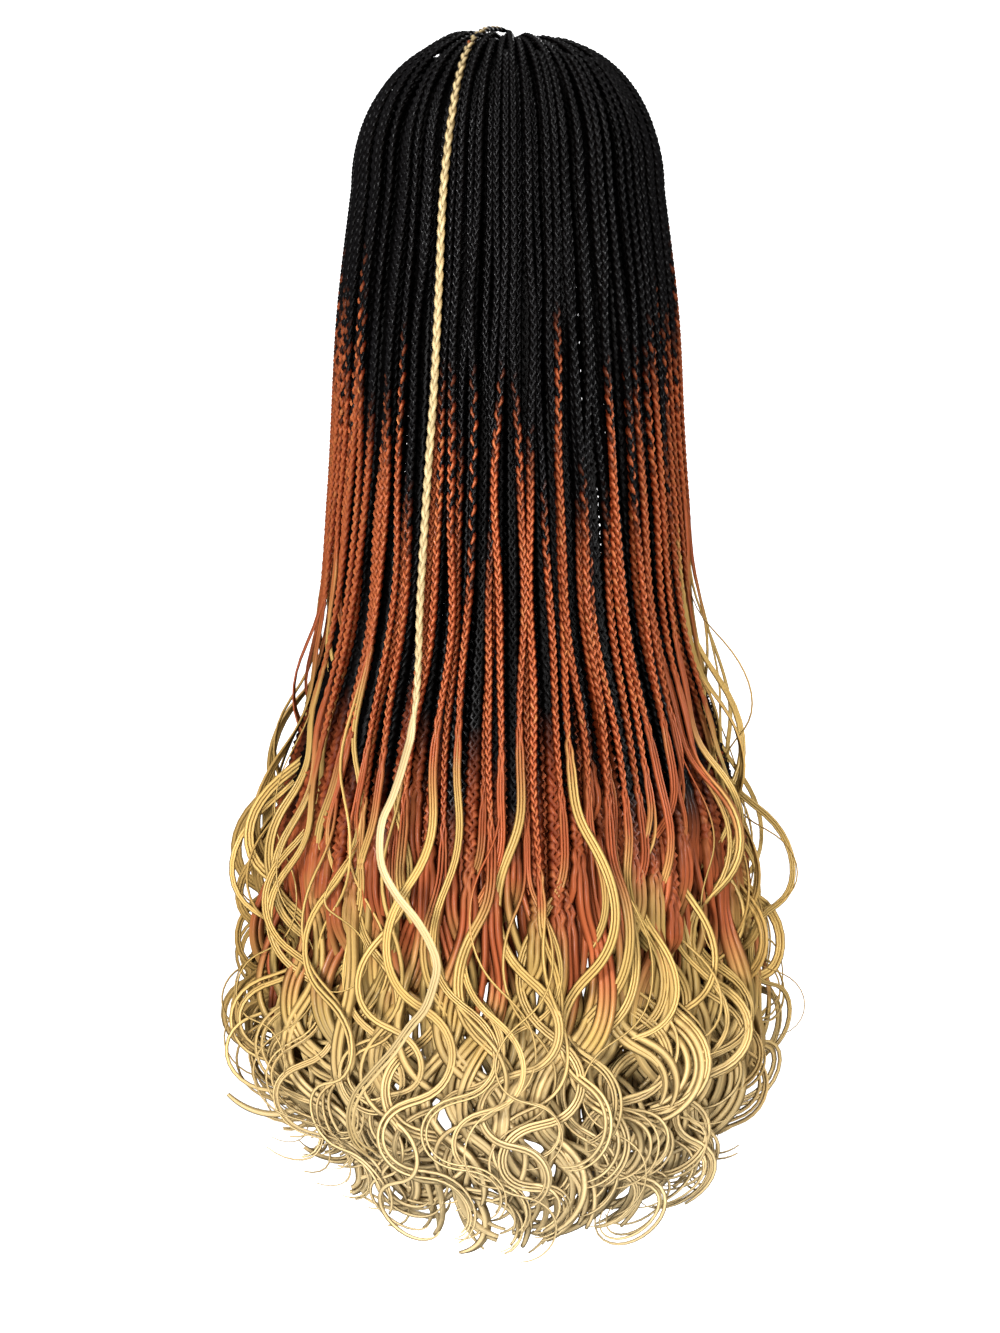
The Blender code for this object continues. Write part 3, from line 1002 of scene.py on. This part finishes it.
def curl_line(start, own, lowest, depth):
    """The middle line of a loose curl from a point, and the direction that its flat side faces.
    It leans to one side and the other in round bends that grow tighter, and its tip hooks up."""
    curls = bpy.context.scene.wig_curls
    fine = np.linspace(0.0, 1.0, CURL_STEPS)
    drop = max(start[2] - lowest, 0.10)
    wave = own["wave"] * mix(1.0, curls.tightening, fine)
    grown = mix(own["lean"], own["loop"], smooth((fine - 0.15) / 0.6)) * smooth(fine / 0.14)
    step = 1.3 * drop / CURL_STEPS
    for _ in range(4):
        turn = 2.0 * np.pi * step * added_up(1.0 / wave)
        turn += own["end"] - turn[-1]
        wave_swing = np.arcsin(SWING_FULLNESS * np.sin(turn)) / SWING_WIDTH
        swing = np.where(turn > 0.0, HOOK_SWING * turn, wave_swing)
        lean = swing * grown
        down = added_up(np.cos(lean))
        step = drop / np.max(down)
    aside = step * added_up(np.sin(lean))
    aside -= np.mean(aside[CURL_STEPS // 3 :]) * smooth(fine / 0.4)
    bend = added_up(1.0 + 0.03 * np.abs(np.gradient(lean)) / step)
    share = np.interp(np.linspace(0.0, bend[-1], CURL_RINGS), bend, fine)
    levels = np.interp(share, fine, start[2] - step * down)
    aside = own["hand"] * np.interp(share, fine, aside)
    turn = np.interp(share, fine, turn)
    half_width, half_depth = read_table(HANGING, start[2])
    azimuth = math.degrees(math.atan2(start[0] / half_width, -start[1] / half_depth))
    azimuth /= 1.0 + CLOSING_SHARE * smooth((BROW_Z - start[2]) / CLOSING_DROP)
    together = (own["azimuth"] - azimuth) * smooth(share / 0.35)
    base = hanging(azimuth + together, levels)
    inset = np.linalg.norm(base[0, :2]) - np.linalg.norm(start[:2])
    out = out_of(base)
    loose = smooth(share / 0.32)
    facing = np.array([math.cos(own["facing"]), math.sin(own["facing"]), 0.0])
    beside = np.array([-facing[1], facing[0], 0.0])
    line = base - out * mix(inset, depth, loose)[:, None]
    line = line + facing * aside[:, None]
    line = line + beside * (CURL_SWAY * loose * np.sin(0.5 * turn + own["drift"]))[:, None]
    line += (start - line[0]) * (1.0 - smooth(share / 0.16))[:, None]
    front = beside * np.where(out @ beside < 0.0, -1.0, 1.0)[:1]
    return line, mix(out, front, smooth(share / 0.3)[:, None])


def add_lock(pile, rng, strands, line, front, half_width, corners, shade, tone):
    """Adds a lock of flat ribbons side by side along a line, which part and narrow towards their
    tips. Each goes on from a strand of a braid or, for a wisp, from none."""
    along = unit(np.gradient(line, axis=0))
    out = unit(front - along * np.sum(front * along, axis=1)[:, None])
    across = np.cross(along, out)
    share = np.linspace(0.0, 1.0, len(line))
    turned = rng.uniform(-0.7, 0.7) * smooth(share / 0.6)[:, None]
    side = across * np.cos(turned) + out * np.sin(turned)
    face = out * np.cos(turned) - across * np.sin(turned)
    middle = 0.5 * (len(strands) - 1)
    begun = smooth(share / 0.15)
    for number, strand in enumerate(strands):
        own_width = half_width * rng.uniform(0.80, 1.20)
        width, thickness, start = own_width, 0.5 * own_width, line[0]
        if strand:
            width, thickness = strand["half_width"][-1], strand["half_depth"][-1]
            start = strand["line"][-1]
        apart = RIBBON_SPACING * half_width * (number - middle) * smooth(share / 0.25)
        parting = rng.normal(0.0, 0.0022, 2)[:, None] * smooth((share - 0.2) / 0.8) ** 1.5
        offset = side * (apart + parting[0])[:, None] + face * parting[1][:, None]
        narrowed = mix(1.0, 0.25, share**9)
        ribbon = {
            "line": line + offset + (start - line[0]) * (1.0 - smooth(share / 0.25))[:, None],
            "across": side,
            "out": face,
            "half_width": mix(width, own_width, begun) * narrowed,
            "half_depth": mix(thickness, 0.5 * own_width, begun) * narrowed,
            SHADE: shade,
            # Painted shade near where the ribbons leave the braid, and at their sides
            PAINTED_LIGHT: mix(LOOSE_PAINTED_LIGHT, 1.0, smooth(share / 0.20)),
            "edge": np.full(len(line), LOOSE_SIDE_PAINTED_LIGHT),
        }
        cut = round(len(line) * (1.0 - 0.07 * rng.random()))
        whole = {key: values[:cut] for key, values in ribbon.items()}
        if strand:
            whole = {
                key: np.concatenate([strand[key], values[1:]]) for key, values in whole.items()
            }
        pile.add(**whole, corners=corners, tone=tone + rng.normal(0.0, 0.12))


def lowest_level(rng, azimuth, spread):
    (hem,) = read_table(HEMS, sideways(azimuth))
    return float(hem) + abs(rng.normal(0.0, spread))


def hang_lock(pile, rng, strands, start, own, depth, lowest, width, marks, tone):
    """Adds the lock that hangs from a point as its tuft turns, down to its lowest level."""
    line, front = curl_line(start, own, lowest, depth)
    shade = shade_at(line[:, 2], *marks[:2])
    add_lock(pile, rng, strands, line, front, width, 3, shade, tone)


def build_outer_piece(number, material):
    """The braids, curls and wisps that stand for one outer CAD row."""
    braids, curls = bpy.context.scene.wig_braids, bpy.context.scene.wig_curls
    rng = np.random.default_rng((SEED, number))
    pile = Strands()
    count = braids.outer_in_piece
    step = 2.0 * FACE_EDGE_AZIMUTH / (OUTER_PIECES * count)
    tufts = tufts_round_head(curls)
    roots = []
    for braid in range(count):
        place = number * count + braid
        azimuth = -FACE_EDGE_AZIMUTH + step * (place + 0.5) + rng.normal(0.0, 0.35)
        layer, depth = ROOT_LAYERS[place % len(ROOT_LAYERS)]
        if place in (0, OUTER_PIECES * count - 1):
            layer = 0.0
        arch = 0.0
        for arch_azimuth, height in ARCHES:
            if abs(azimuth - arch_azimuth) < 0.5 * step + 0.3:
                arch, layer, depth = height, 0.0, 0.0
        if braid % 3 == 0:
            pull = rng.uniform(0.20, 0.62)
        gathered = (1 - braid % 3) * math.radians(step) * DOME_HALF_WIDTH * pull
        copper_z, blonde_z = (float(v) for v in read_table(SHADES, sideways(azimuth)))
        copper_z += rng.normal(0.0, 0.028) - 4.0 * depth
        late = 1.0 if rng.random() < LATE_CHANCE or depth > LATE_DEPTH else 0.0
        end_z = blonde_z + 0.010 - LATE_END * late + rng.normal(0.0, 0.018)
        blonde_z += -LATE_BLONDE * late + rng.normal(0.0, 0.020)
        line = outer_braid_line(rng, azimuth, layer, depth, gathered, end_z, arch, braids)
        shifts = rng.normal(0.0, (0.022, 0.012), (3, 2))
        odd = rng.random(3) < 0.16
        shifts[odd, 0] += rng.uniform(0.02, 0.07)
        marks = (copper_z, blonde_z, shifts)
        tone = rng.normal(1.0, 0.12)
        width = curls.ribbon * rng.uniform(0.80, 1.25)
        size = rng.uniform(0.90, 1.06)
        spacing = RIBBON_SPACING * width
        strands = plaited(rng, line, braids, size, marks, spacing, braids.plait)
        division = rng.choice(len(DIVISIONS), p=[chance for chance, _ in DIVISIONS])
        for group in DIVISIONS[division][1]:
            own = tuft_for(rng, tufts, azimuth, 0.15 if 0 in group else 0.5, 0.4)
            depth = rng.uniform(-0.002, 0.012) + 0.012 * late
            lowest = lowest_level(rng, azimuth, 0.036)
            held = [strands[place] for place in group]
            hang_lock(pile, rng, held, line[-1], own, depth, lowest, width, marks, tone)
        roots.append((line[-1], azimuth, marks))
    for _ in range(curls.wisps_in_piece):
        end, azimuth, marks = roots[rng.integers(len(roots))]
        own = tuft_for(rng, tufts, azimuth, 1.0, 0.0)
        depth = rng.uniform(-0.004, 0.01)
        lowest = lowest_level(rng, azimuth, 0.06)
        width = rng.uniform(0.0007, 0.0010)
        tone = rng.normal(1.0, 0.12)
        hang_lock(pile, rng, [None], end, own, depth, lowest, width, marks, tone)
    return pile.piece(f"outer_hair_{number + 1:02d}", material)


def build_inner_piece(number, material):
    """The plainer braids and curls that stand for one inner CAD row."""
    braids, curls = bpy.context.scene.wig_braids, bpy.context.scene.wig_curls
    rng = np.random.default_rng((SEED, 100 + number))
    pile = Strands()
    count = braids.inner_in_piece
    step = 2.0 * INNER_EDGE_AZIMUTH / (INNER_PIECES * count)
    tufts = tufts_round_head(curls)
    for braid in range(count):
        azimuth = -INNER_EDGE_AZIMUTH + step * (number * count + braid + 0.5)
        copper_z = INNER_COPPER_Z + rng.normal(0.0, 0.030)
        blonde_z = INNER_BLONDE_Z + rng.normal(0.0, 0.030)
        end_z = INNER_END_Z + rng.normal(0.0, 0.020)
        depth = INNER_DEPTHS[braid % len(INNER_DEPTHS)]
        line = inner_braid_line(rng, azimuth, depth, end_z, braids)
        half_width, _ = read_table(HANGING, np.minimum(line[:, 2], BROW_Z))
        size = INNER_SIZE * half_width / DOME_HALF_WIDTH
        marks = (copper_z, blonde_z, np.zeros((3, 2)))
        # A lower tone: painted shade for the inner hair, which lies inside the outer braids
        tone = rng.normal(0.85, 0.08)
        width = INNER_RIBBON * curls.ribbon
        spacing = RIBBON_SPACING * width
        strands = plaited(rng, line, braids, size, marks, spacing, braids.plait)
        left = 1.0 - np.linspace(0.0, 1.0, len(line))
        # Painted shade: the inner braids' painted light is cut down, except near their ends
        for strand in strands:
            strand[PAINTED_LIGHT] *= mix(1.0, INNER_PAINTED_LIGHT, smooth(left / 0.2))
        for group in DIVISIONS[rng.choice(2)][1]:
            own = tuft_for(rng, tufts, azimuth, 0.5, 0.0)
            own["end"] += rng.normal(0.0, 1.0)
            own["lean"] *= 0.65
            own["loop"] *= 0.75
            depth = rng.uniform(0.014, 0.050)
            lowest = lowest_level(rng, azimuth, 0.055)
            held = [strands[place] for place in group]
            hang_lock(pile, rng, held, line[-1], own, depth, lowest, width, marks, tone)
    marks = (BACKING_TOP, BACKING_BLONDE_Z)
    for backing in range(BACKING_LOCKS):
        share = (number + (backing + 0.5) / BACKING_LOCKS) / INNER_PIECES
        azimuth = INNER_EDGE_AZIMUTH * (2.0 * share - 1.0)
        top = hanging(azimuth, np.array([BACKING_TOP]))
        start = (top - out_of(top) * BACKING_DEPTH)[0]
        own = tuft_for(rng, tufts, azimuth, 1.0, 0.0)
        own["lean"] *= 0.5
        own["loop"] *= 0.6
        depth = rng.uniform(0.030, 0.045)
        lowest = lowest_level(rng, azimuth, 0.04)
        # The backing locks take a low tone: painted shade for hair deep inside the wig
        hang_lock(pile, rng, [None] * 3, start, own, depth, lowest, BACKING_RIBBON, marks, 0.55)
    return pile.piece(f"inner_hair_{number + 1:02d}", material)


def build_highlight(material):
    """The pale braid over the crown and down the back, with black strands woven in at its root."""
    braids, curls = bpy.context.scene.wig_braids, bpy.context.scene.wig_curls
    rng = np.random.default_rng((SEED, 200))
    over = np.array(HIGHLIGHT_CROWN)
    over[:, 2] += dome_z(over[:, 0], over[:, 1])
    down = [on_back(*row) for row in HIGHLIGHT_BACK]
    line = spline_through(np.concatenate([over, down]), braids.plait / 8.0)

    pile = Strands()
    marks = (0.0, 0.0, np.zeros((3, 2)))
    width = HIGHLIGHT_RIBBON * curls.ribbon
    spacing = RIBBON_SPACING * width
    strands = plaited(rng, line, braids, HIGHLIGHT_SIZE, marks, spacing, HIGHLIGHT_PLAIT)
    run = distances(line)
    # Below its root, the painted shade in the highlight's creases is softened
    softened = 0.5 * smooth((run - 0.06) / 0.20)
    for strand, start in zip(strands, (0.085, 0.030, 0.012)):
        strand[SHADE] = PALE_SHADE * smooth((run - start) / 0.012 + 0.5)
        strand[PAINTED_LIGHT] = mix(strand[PAINTED_LIGHT], 1.0, softened)
    route = spline_through([on_back(*row) for row in HIGHLIGHT_CURL], 0.005)
    fading = np.linspace(PALE_SHADE, 2.2, len(route))
    corners = HIGHLIGHT_CORNERS
    add_lock(pile, rng, strands, route, out_of(route), width, corners, fading, 0.60)
    # Near the root its creases are painted darker still through the tone: dark lines for the black
    # strands woven in there, on top of the painted shade
    outlined = OUTLINE_DEPTH * smooth((0.26 - run) / 0.20)
    braided = corners * len(run)
    for tube in pile.tubes:
        creases = 1.0 - tube[PAINTED_LIGHT][:braided]
        tube[TONE][:braided] -= creases * np.repeat(outlined, corners)
    return pile.piece("highlight_hair", material)


def on_back(x, z, outwards):
    """A point outside the hanging surface, from how it looks from behind."""
    half_width, half_depth = (float(v) for v in read_table(HANGING, z))
    across = x / (half_width + outwards)
    return np.array([x, -(half_depth + outwards) * math.sqrt(1.0 - across**2), z])


def build_knot(material):
    """The small knob of hair wound round the whorl's roots."""
    turn = np.linspace(0.0, 2.0 * np.pi * 2.6, 60)
    share = np.linspace(0.0, 1.0, 60)
    reach = mix(0.0034, 0.0012, share)
    line = np.stack(
        [
            reach * np.cos(turn),
            WHORL_Y + reach * np.sin(turn),
            mix(CAP_WALL + 0.0014, CAP_WALL + 0.0048, share),
        ],
        1,
    )
    along = unit(np.gradient(line, axis=0))
    up = np.tile([0.0, 0.0, 1.0], (60, 1))
    across = unit(np.cross(along, up))
    pile = Strands()
    # Painted light: full on the knot's outward side, half at its other sides, which are painted darker
    pile.add(line, across, np.cross(across, along), 0.0014, 0.0013, 0.0, 1.0, 0.5, 8, 1.0)
    return pile.piece("crown_knot_hair", material)


def build_cap(material):
    """The stretch cap: a sphere's upper half drawn down to the rim line, with its wall outside
    the head hollow."""
    shape = bmesh.new()
    shape.loops.layers.uv.new(UV_NAME)
    bmesh.ops.create_uvsphere(
        shape, u_segments=CAP_TURNS, v_segments=CAP_RINGS, radius=1.0, calc_uvs=True
    )
    lower = [vertex for vertex in shape.verts if vertex.co.z < -0.01]
    bmesh.ops.delete(shape, geom=lower, context="VERTS")
    for vertex in shape.verts:
        azimuth = math.degrees(math.atan2(vertex.co.x, -vertex.co.y))
        (rim,) = read_table(CAP_RIM, abs(azimuth))
        polar = math.radians(rim) * math.acos(min(1.0, vertex.co.z)) / (0.5 * math.pi)
        turn = math.radians(azimuth)
        vertex.co = (
            HEAD_HALF[0] * math.sin(polar) * math.sin(turn),
            -HEAD_HALF[1] * math.sin(polar) * math.cos(turn),
            BROW_Z + HEAD_HALF[2] * math.cos(polar),
        )
    bmesh.ops.recalc_face_normals(shape, faces=shape.faces)
    cap = add_object("stretch_cap", mesh_of(shape, "stretch_cap"), material)
    wall = cap.modifiers.new("wall", "SOLIDIFY")
    wall.thickness = CAP_WALL
    wall.offset = 1.0
    return cap


def build_rows(build, count, slot, node):
    """Builds one piece for each CAD row of a layer."""
    material = shared_material("braiding_hair", hair_material)
    for number in range(count):
        placed(build(number, material), slot, f"{node}_{number + 1:02d}")


class WIG_OT_cap(bpy.types.Operator):
    """Build the stretch cap"""

    bl_idname = "wig.cap"
    bl_label = "Cap"

    def execute(self, context):
        material = shared_material("cap_knit", cap_material)
        placed(build_cap(material), "cap_fabric", "cap")
        return {"FINISHED"}


class WIG_OT_crown_knot(bpy.types.Operator):
    """Build the small knob at the crown"""

    bl_idname = "wig.crown_knot"
    bl_label = "Crown knot"

    def execute(self, context):
        material = shared_material("braiding_hair", hair_material)
        placed(build_knot(material), "black_braid", "crown_knot")
        return {"FINISHED"}


class WIG_OT_outer_braids(bpy.types.Operator):
    """Build the outer braids with their loose curls"""

    bl_idname = "wig.outer_braids"
    bl_label = "Outer braids"

    def execute(self, context):
        build_rows(build_outer_piece, OUTER_PIECES, "copper_braid", "outer_braids")
        return {"FINISHED"}


class WIG_OT_inner_braids(bpy.types.Operator):
    """Build the inner braids with their loose curls"""

    bl_idname = "wig.inner_braids"
    bl_label = "Inner braids"

    def execute(self, context):
        build_rows(build_inner_piece, INNER_PIECES, "black_braid", "inner_braids")
        return {"FINISHED"}


class WIG_OT_highlight_braid(bpy.types.Operator):
    """Build the pale braid over the crown and down the back"""

    bl_idname = "wig.highlight_braid"
    bl_label = "Highlight braid"

    def execute(self, context):
        material = shared_material("braiding_hair", hair_material)
        placed(build_highlight(material), "blonde_braid", "highlight_braid")
        return {"FINISHED"}


def area_light(name, place, aim, size, power):
    light = bpy.data.lights.new(name, "AREA")
    light.shape = "DISK"
    light.size = size
    light.energy = power
    made = add_object(name, light)
    made.location = place
    made.rotation_euler = (Vector(aim) - Vector(place)).to_track_quat("-Z", "Y").to_euler()


def build_sweep(stage):
    """A round floor that curves up into a wall on all sides. Only the camera sees it."""
    shape = bmesh.new()
    profile = [(0.0, 0.0), (3.4, 0.0)]
    for step in range(1, 13):
        angle = math.radians(90.0 * step / 12)
        profile.append((3.4 + 0.9 * math.sin(angle), 0.9 - 0.9 * math.cos(angle)))
    profile.append((4.3, 6.0))
    rows = [shape.verts.new((reach, 0.0, stage.floor_z + z)) for reach, z in profile]
    edges = [shape.edges.new(pair) for pair in zip(rows, rows[1:])]
    bmesh.ops.spin(
        shape,
        geom=rows + edges,
        axis=(0.0, 0.0, 1.0),
        angle=2.0 * math.pi,
        steps=64,
        use_merge=True,
    )
    bmesh.ops.remove_doubles(shape, verts=shape.verts, dist=0.0001)
    bmesh.ops.recalc_face_normals(shape, faces=shape.faces)
    graph = Graph("white_sweep", Roughness=0.9)
    graph.shader.inputs["Base Color"].default_value = (0.9, 0.9, 0.9, 1.0)
    graph.shader.inputs["Emission Color"].default_value = (1.0, 1.0, 1.0, 1.0)
    graph.shader.inputs["Emission Strength"].default_value = 0.95
    sweep = add_object("sweep", mesh_of(shape, "sweep"), graph.material)
    sweep.visible_diffuse = False
    sweep.visible_glossy = False
    sweep.visible_transmission = False
    sweep.visible_shadow = False


class WIG_OT_stage(bpy.types.Operator):
    """Build the backdrop, lights and camera"""

    bl_idname = "wig.stage"
    bl_label = "Stage"

    def execute(self, context):
        scene = context.scene
        stage = scene.wig_stage
        aim = Vector(stage.aim)
        build_sweep(stage)
        area_light("key", (-1.4, -2.2, 0.3), aim, 0.7, 84.0)
        area_light("fill", (1.9, -1.7, 0.1), aim, 0.9, 54.0)
        area_light("low", (-0.3, -2.3, -1.0), (0.0, 0.0, -0.72), 0.8, 54.0)
        area_light("top", (0.1, -0.4, 1.8), aim, 0.8, 20.0)
        area_light("front", (0.6, 2.2, 0.6), aim, 1.2, 45.0)
        world = bpy.data.worlds.new("soft_white")
        world.use_nodes = True
        sky = world.node_tree.nodes["Background"]
        sky.inputs["Color"].default_value = (1.0, 1.0, 1.0, 1.0)
        sky.inputs["Strength"].default_value = 0.31
        scene.world = world
        scene.view_settings.view_transform = "Standard"
        lens = bpy.data.cameras.new("camera")
        lens.sensor_width = 36.0
        lens.lens = 36.0 * stage.distance / stage.view_height
        lens.clip_end = 50.0
        camera = add_object("camera", lens)
        camera.location = aim + Vector((0.0, -stage.distance, stage.camera_rise))
        camera.rotation_euler = (aim - camera.location).to_track_quat("-Z", "Y").to_euler()
        scene.camera = camera
        return {"FINISHED"}


class WIG_PT_panel(bpy.types.Panel):
    """The wig's settings and the steps that build it"""

    bl_idname = "WIG_PT_panel"
    bl_label = "Braid wig"
    bl_space_type = "VIEW_3D"
    bl_region_type = "UI"
    bl_category = "Braid Wig"

    def draw(self, context):
        for name, group in GROUPS.items():
            box = self.layout.box()
            settings = getattr(context.scene, name)
            for key in group.__annotations__:
                box.prop(settings, key)
        for operator in OPERATORS:
            self.layout.operator(operator.bl_idname)


GROUPS = {
    "wig_braids": WigBraids,
    "wig_curls": WigCurls,
    "wig_colours": WigColours,
    "wig_stage": WigStage,
}
OPERATORS = (
    WIG_OT_cap,
    WIG_OT_crown_knot,
    WIG_OT_outer_braids,
    WIG_OT_inner_braids,
    WIG_OT_highlight_braid,
    WIG_OT_stage,
)


def register():
    for group in (*GROUPS.values(), *OPERATORS, WIG_PT_panel):
        bpy.utils.register_class(group)
    for name, group in GROUPS.items():
        setattr(bpy.types.Scene, name, PointerProperty(type=group))


def unregister():
    for name in GROUPS:
        delattr(bpy.types.Scene, name)
    for group in (WIG_PT_panel, *reversed(OPERATORS), *reversed(GROUPS.values())):
        bpy.utils.unregister_class(group)


def main():
    register()
    bpy.ops.wig.cap()
    bpy.ops.wig.crown_knot()
    bpy.ops.wig.outer_braids()
    bpy.ops.wig.inner_braids()
    bpy.ops.wig.highlight_braid()
    bpy.ops.wig.stage()


if __name__ == "__main__":
    main()
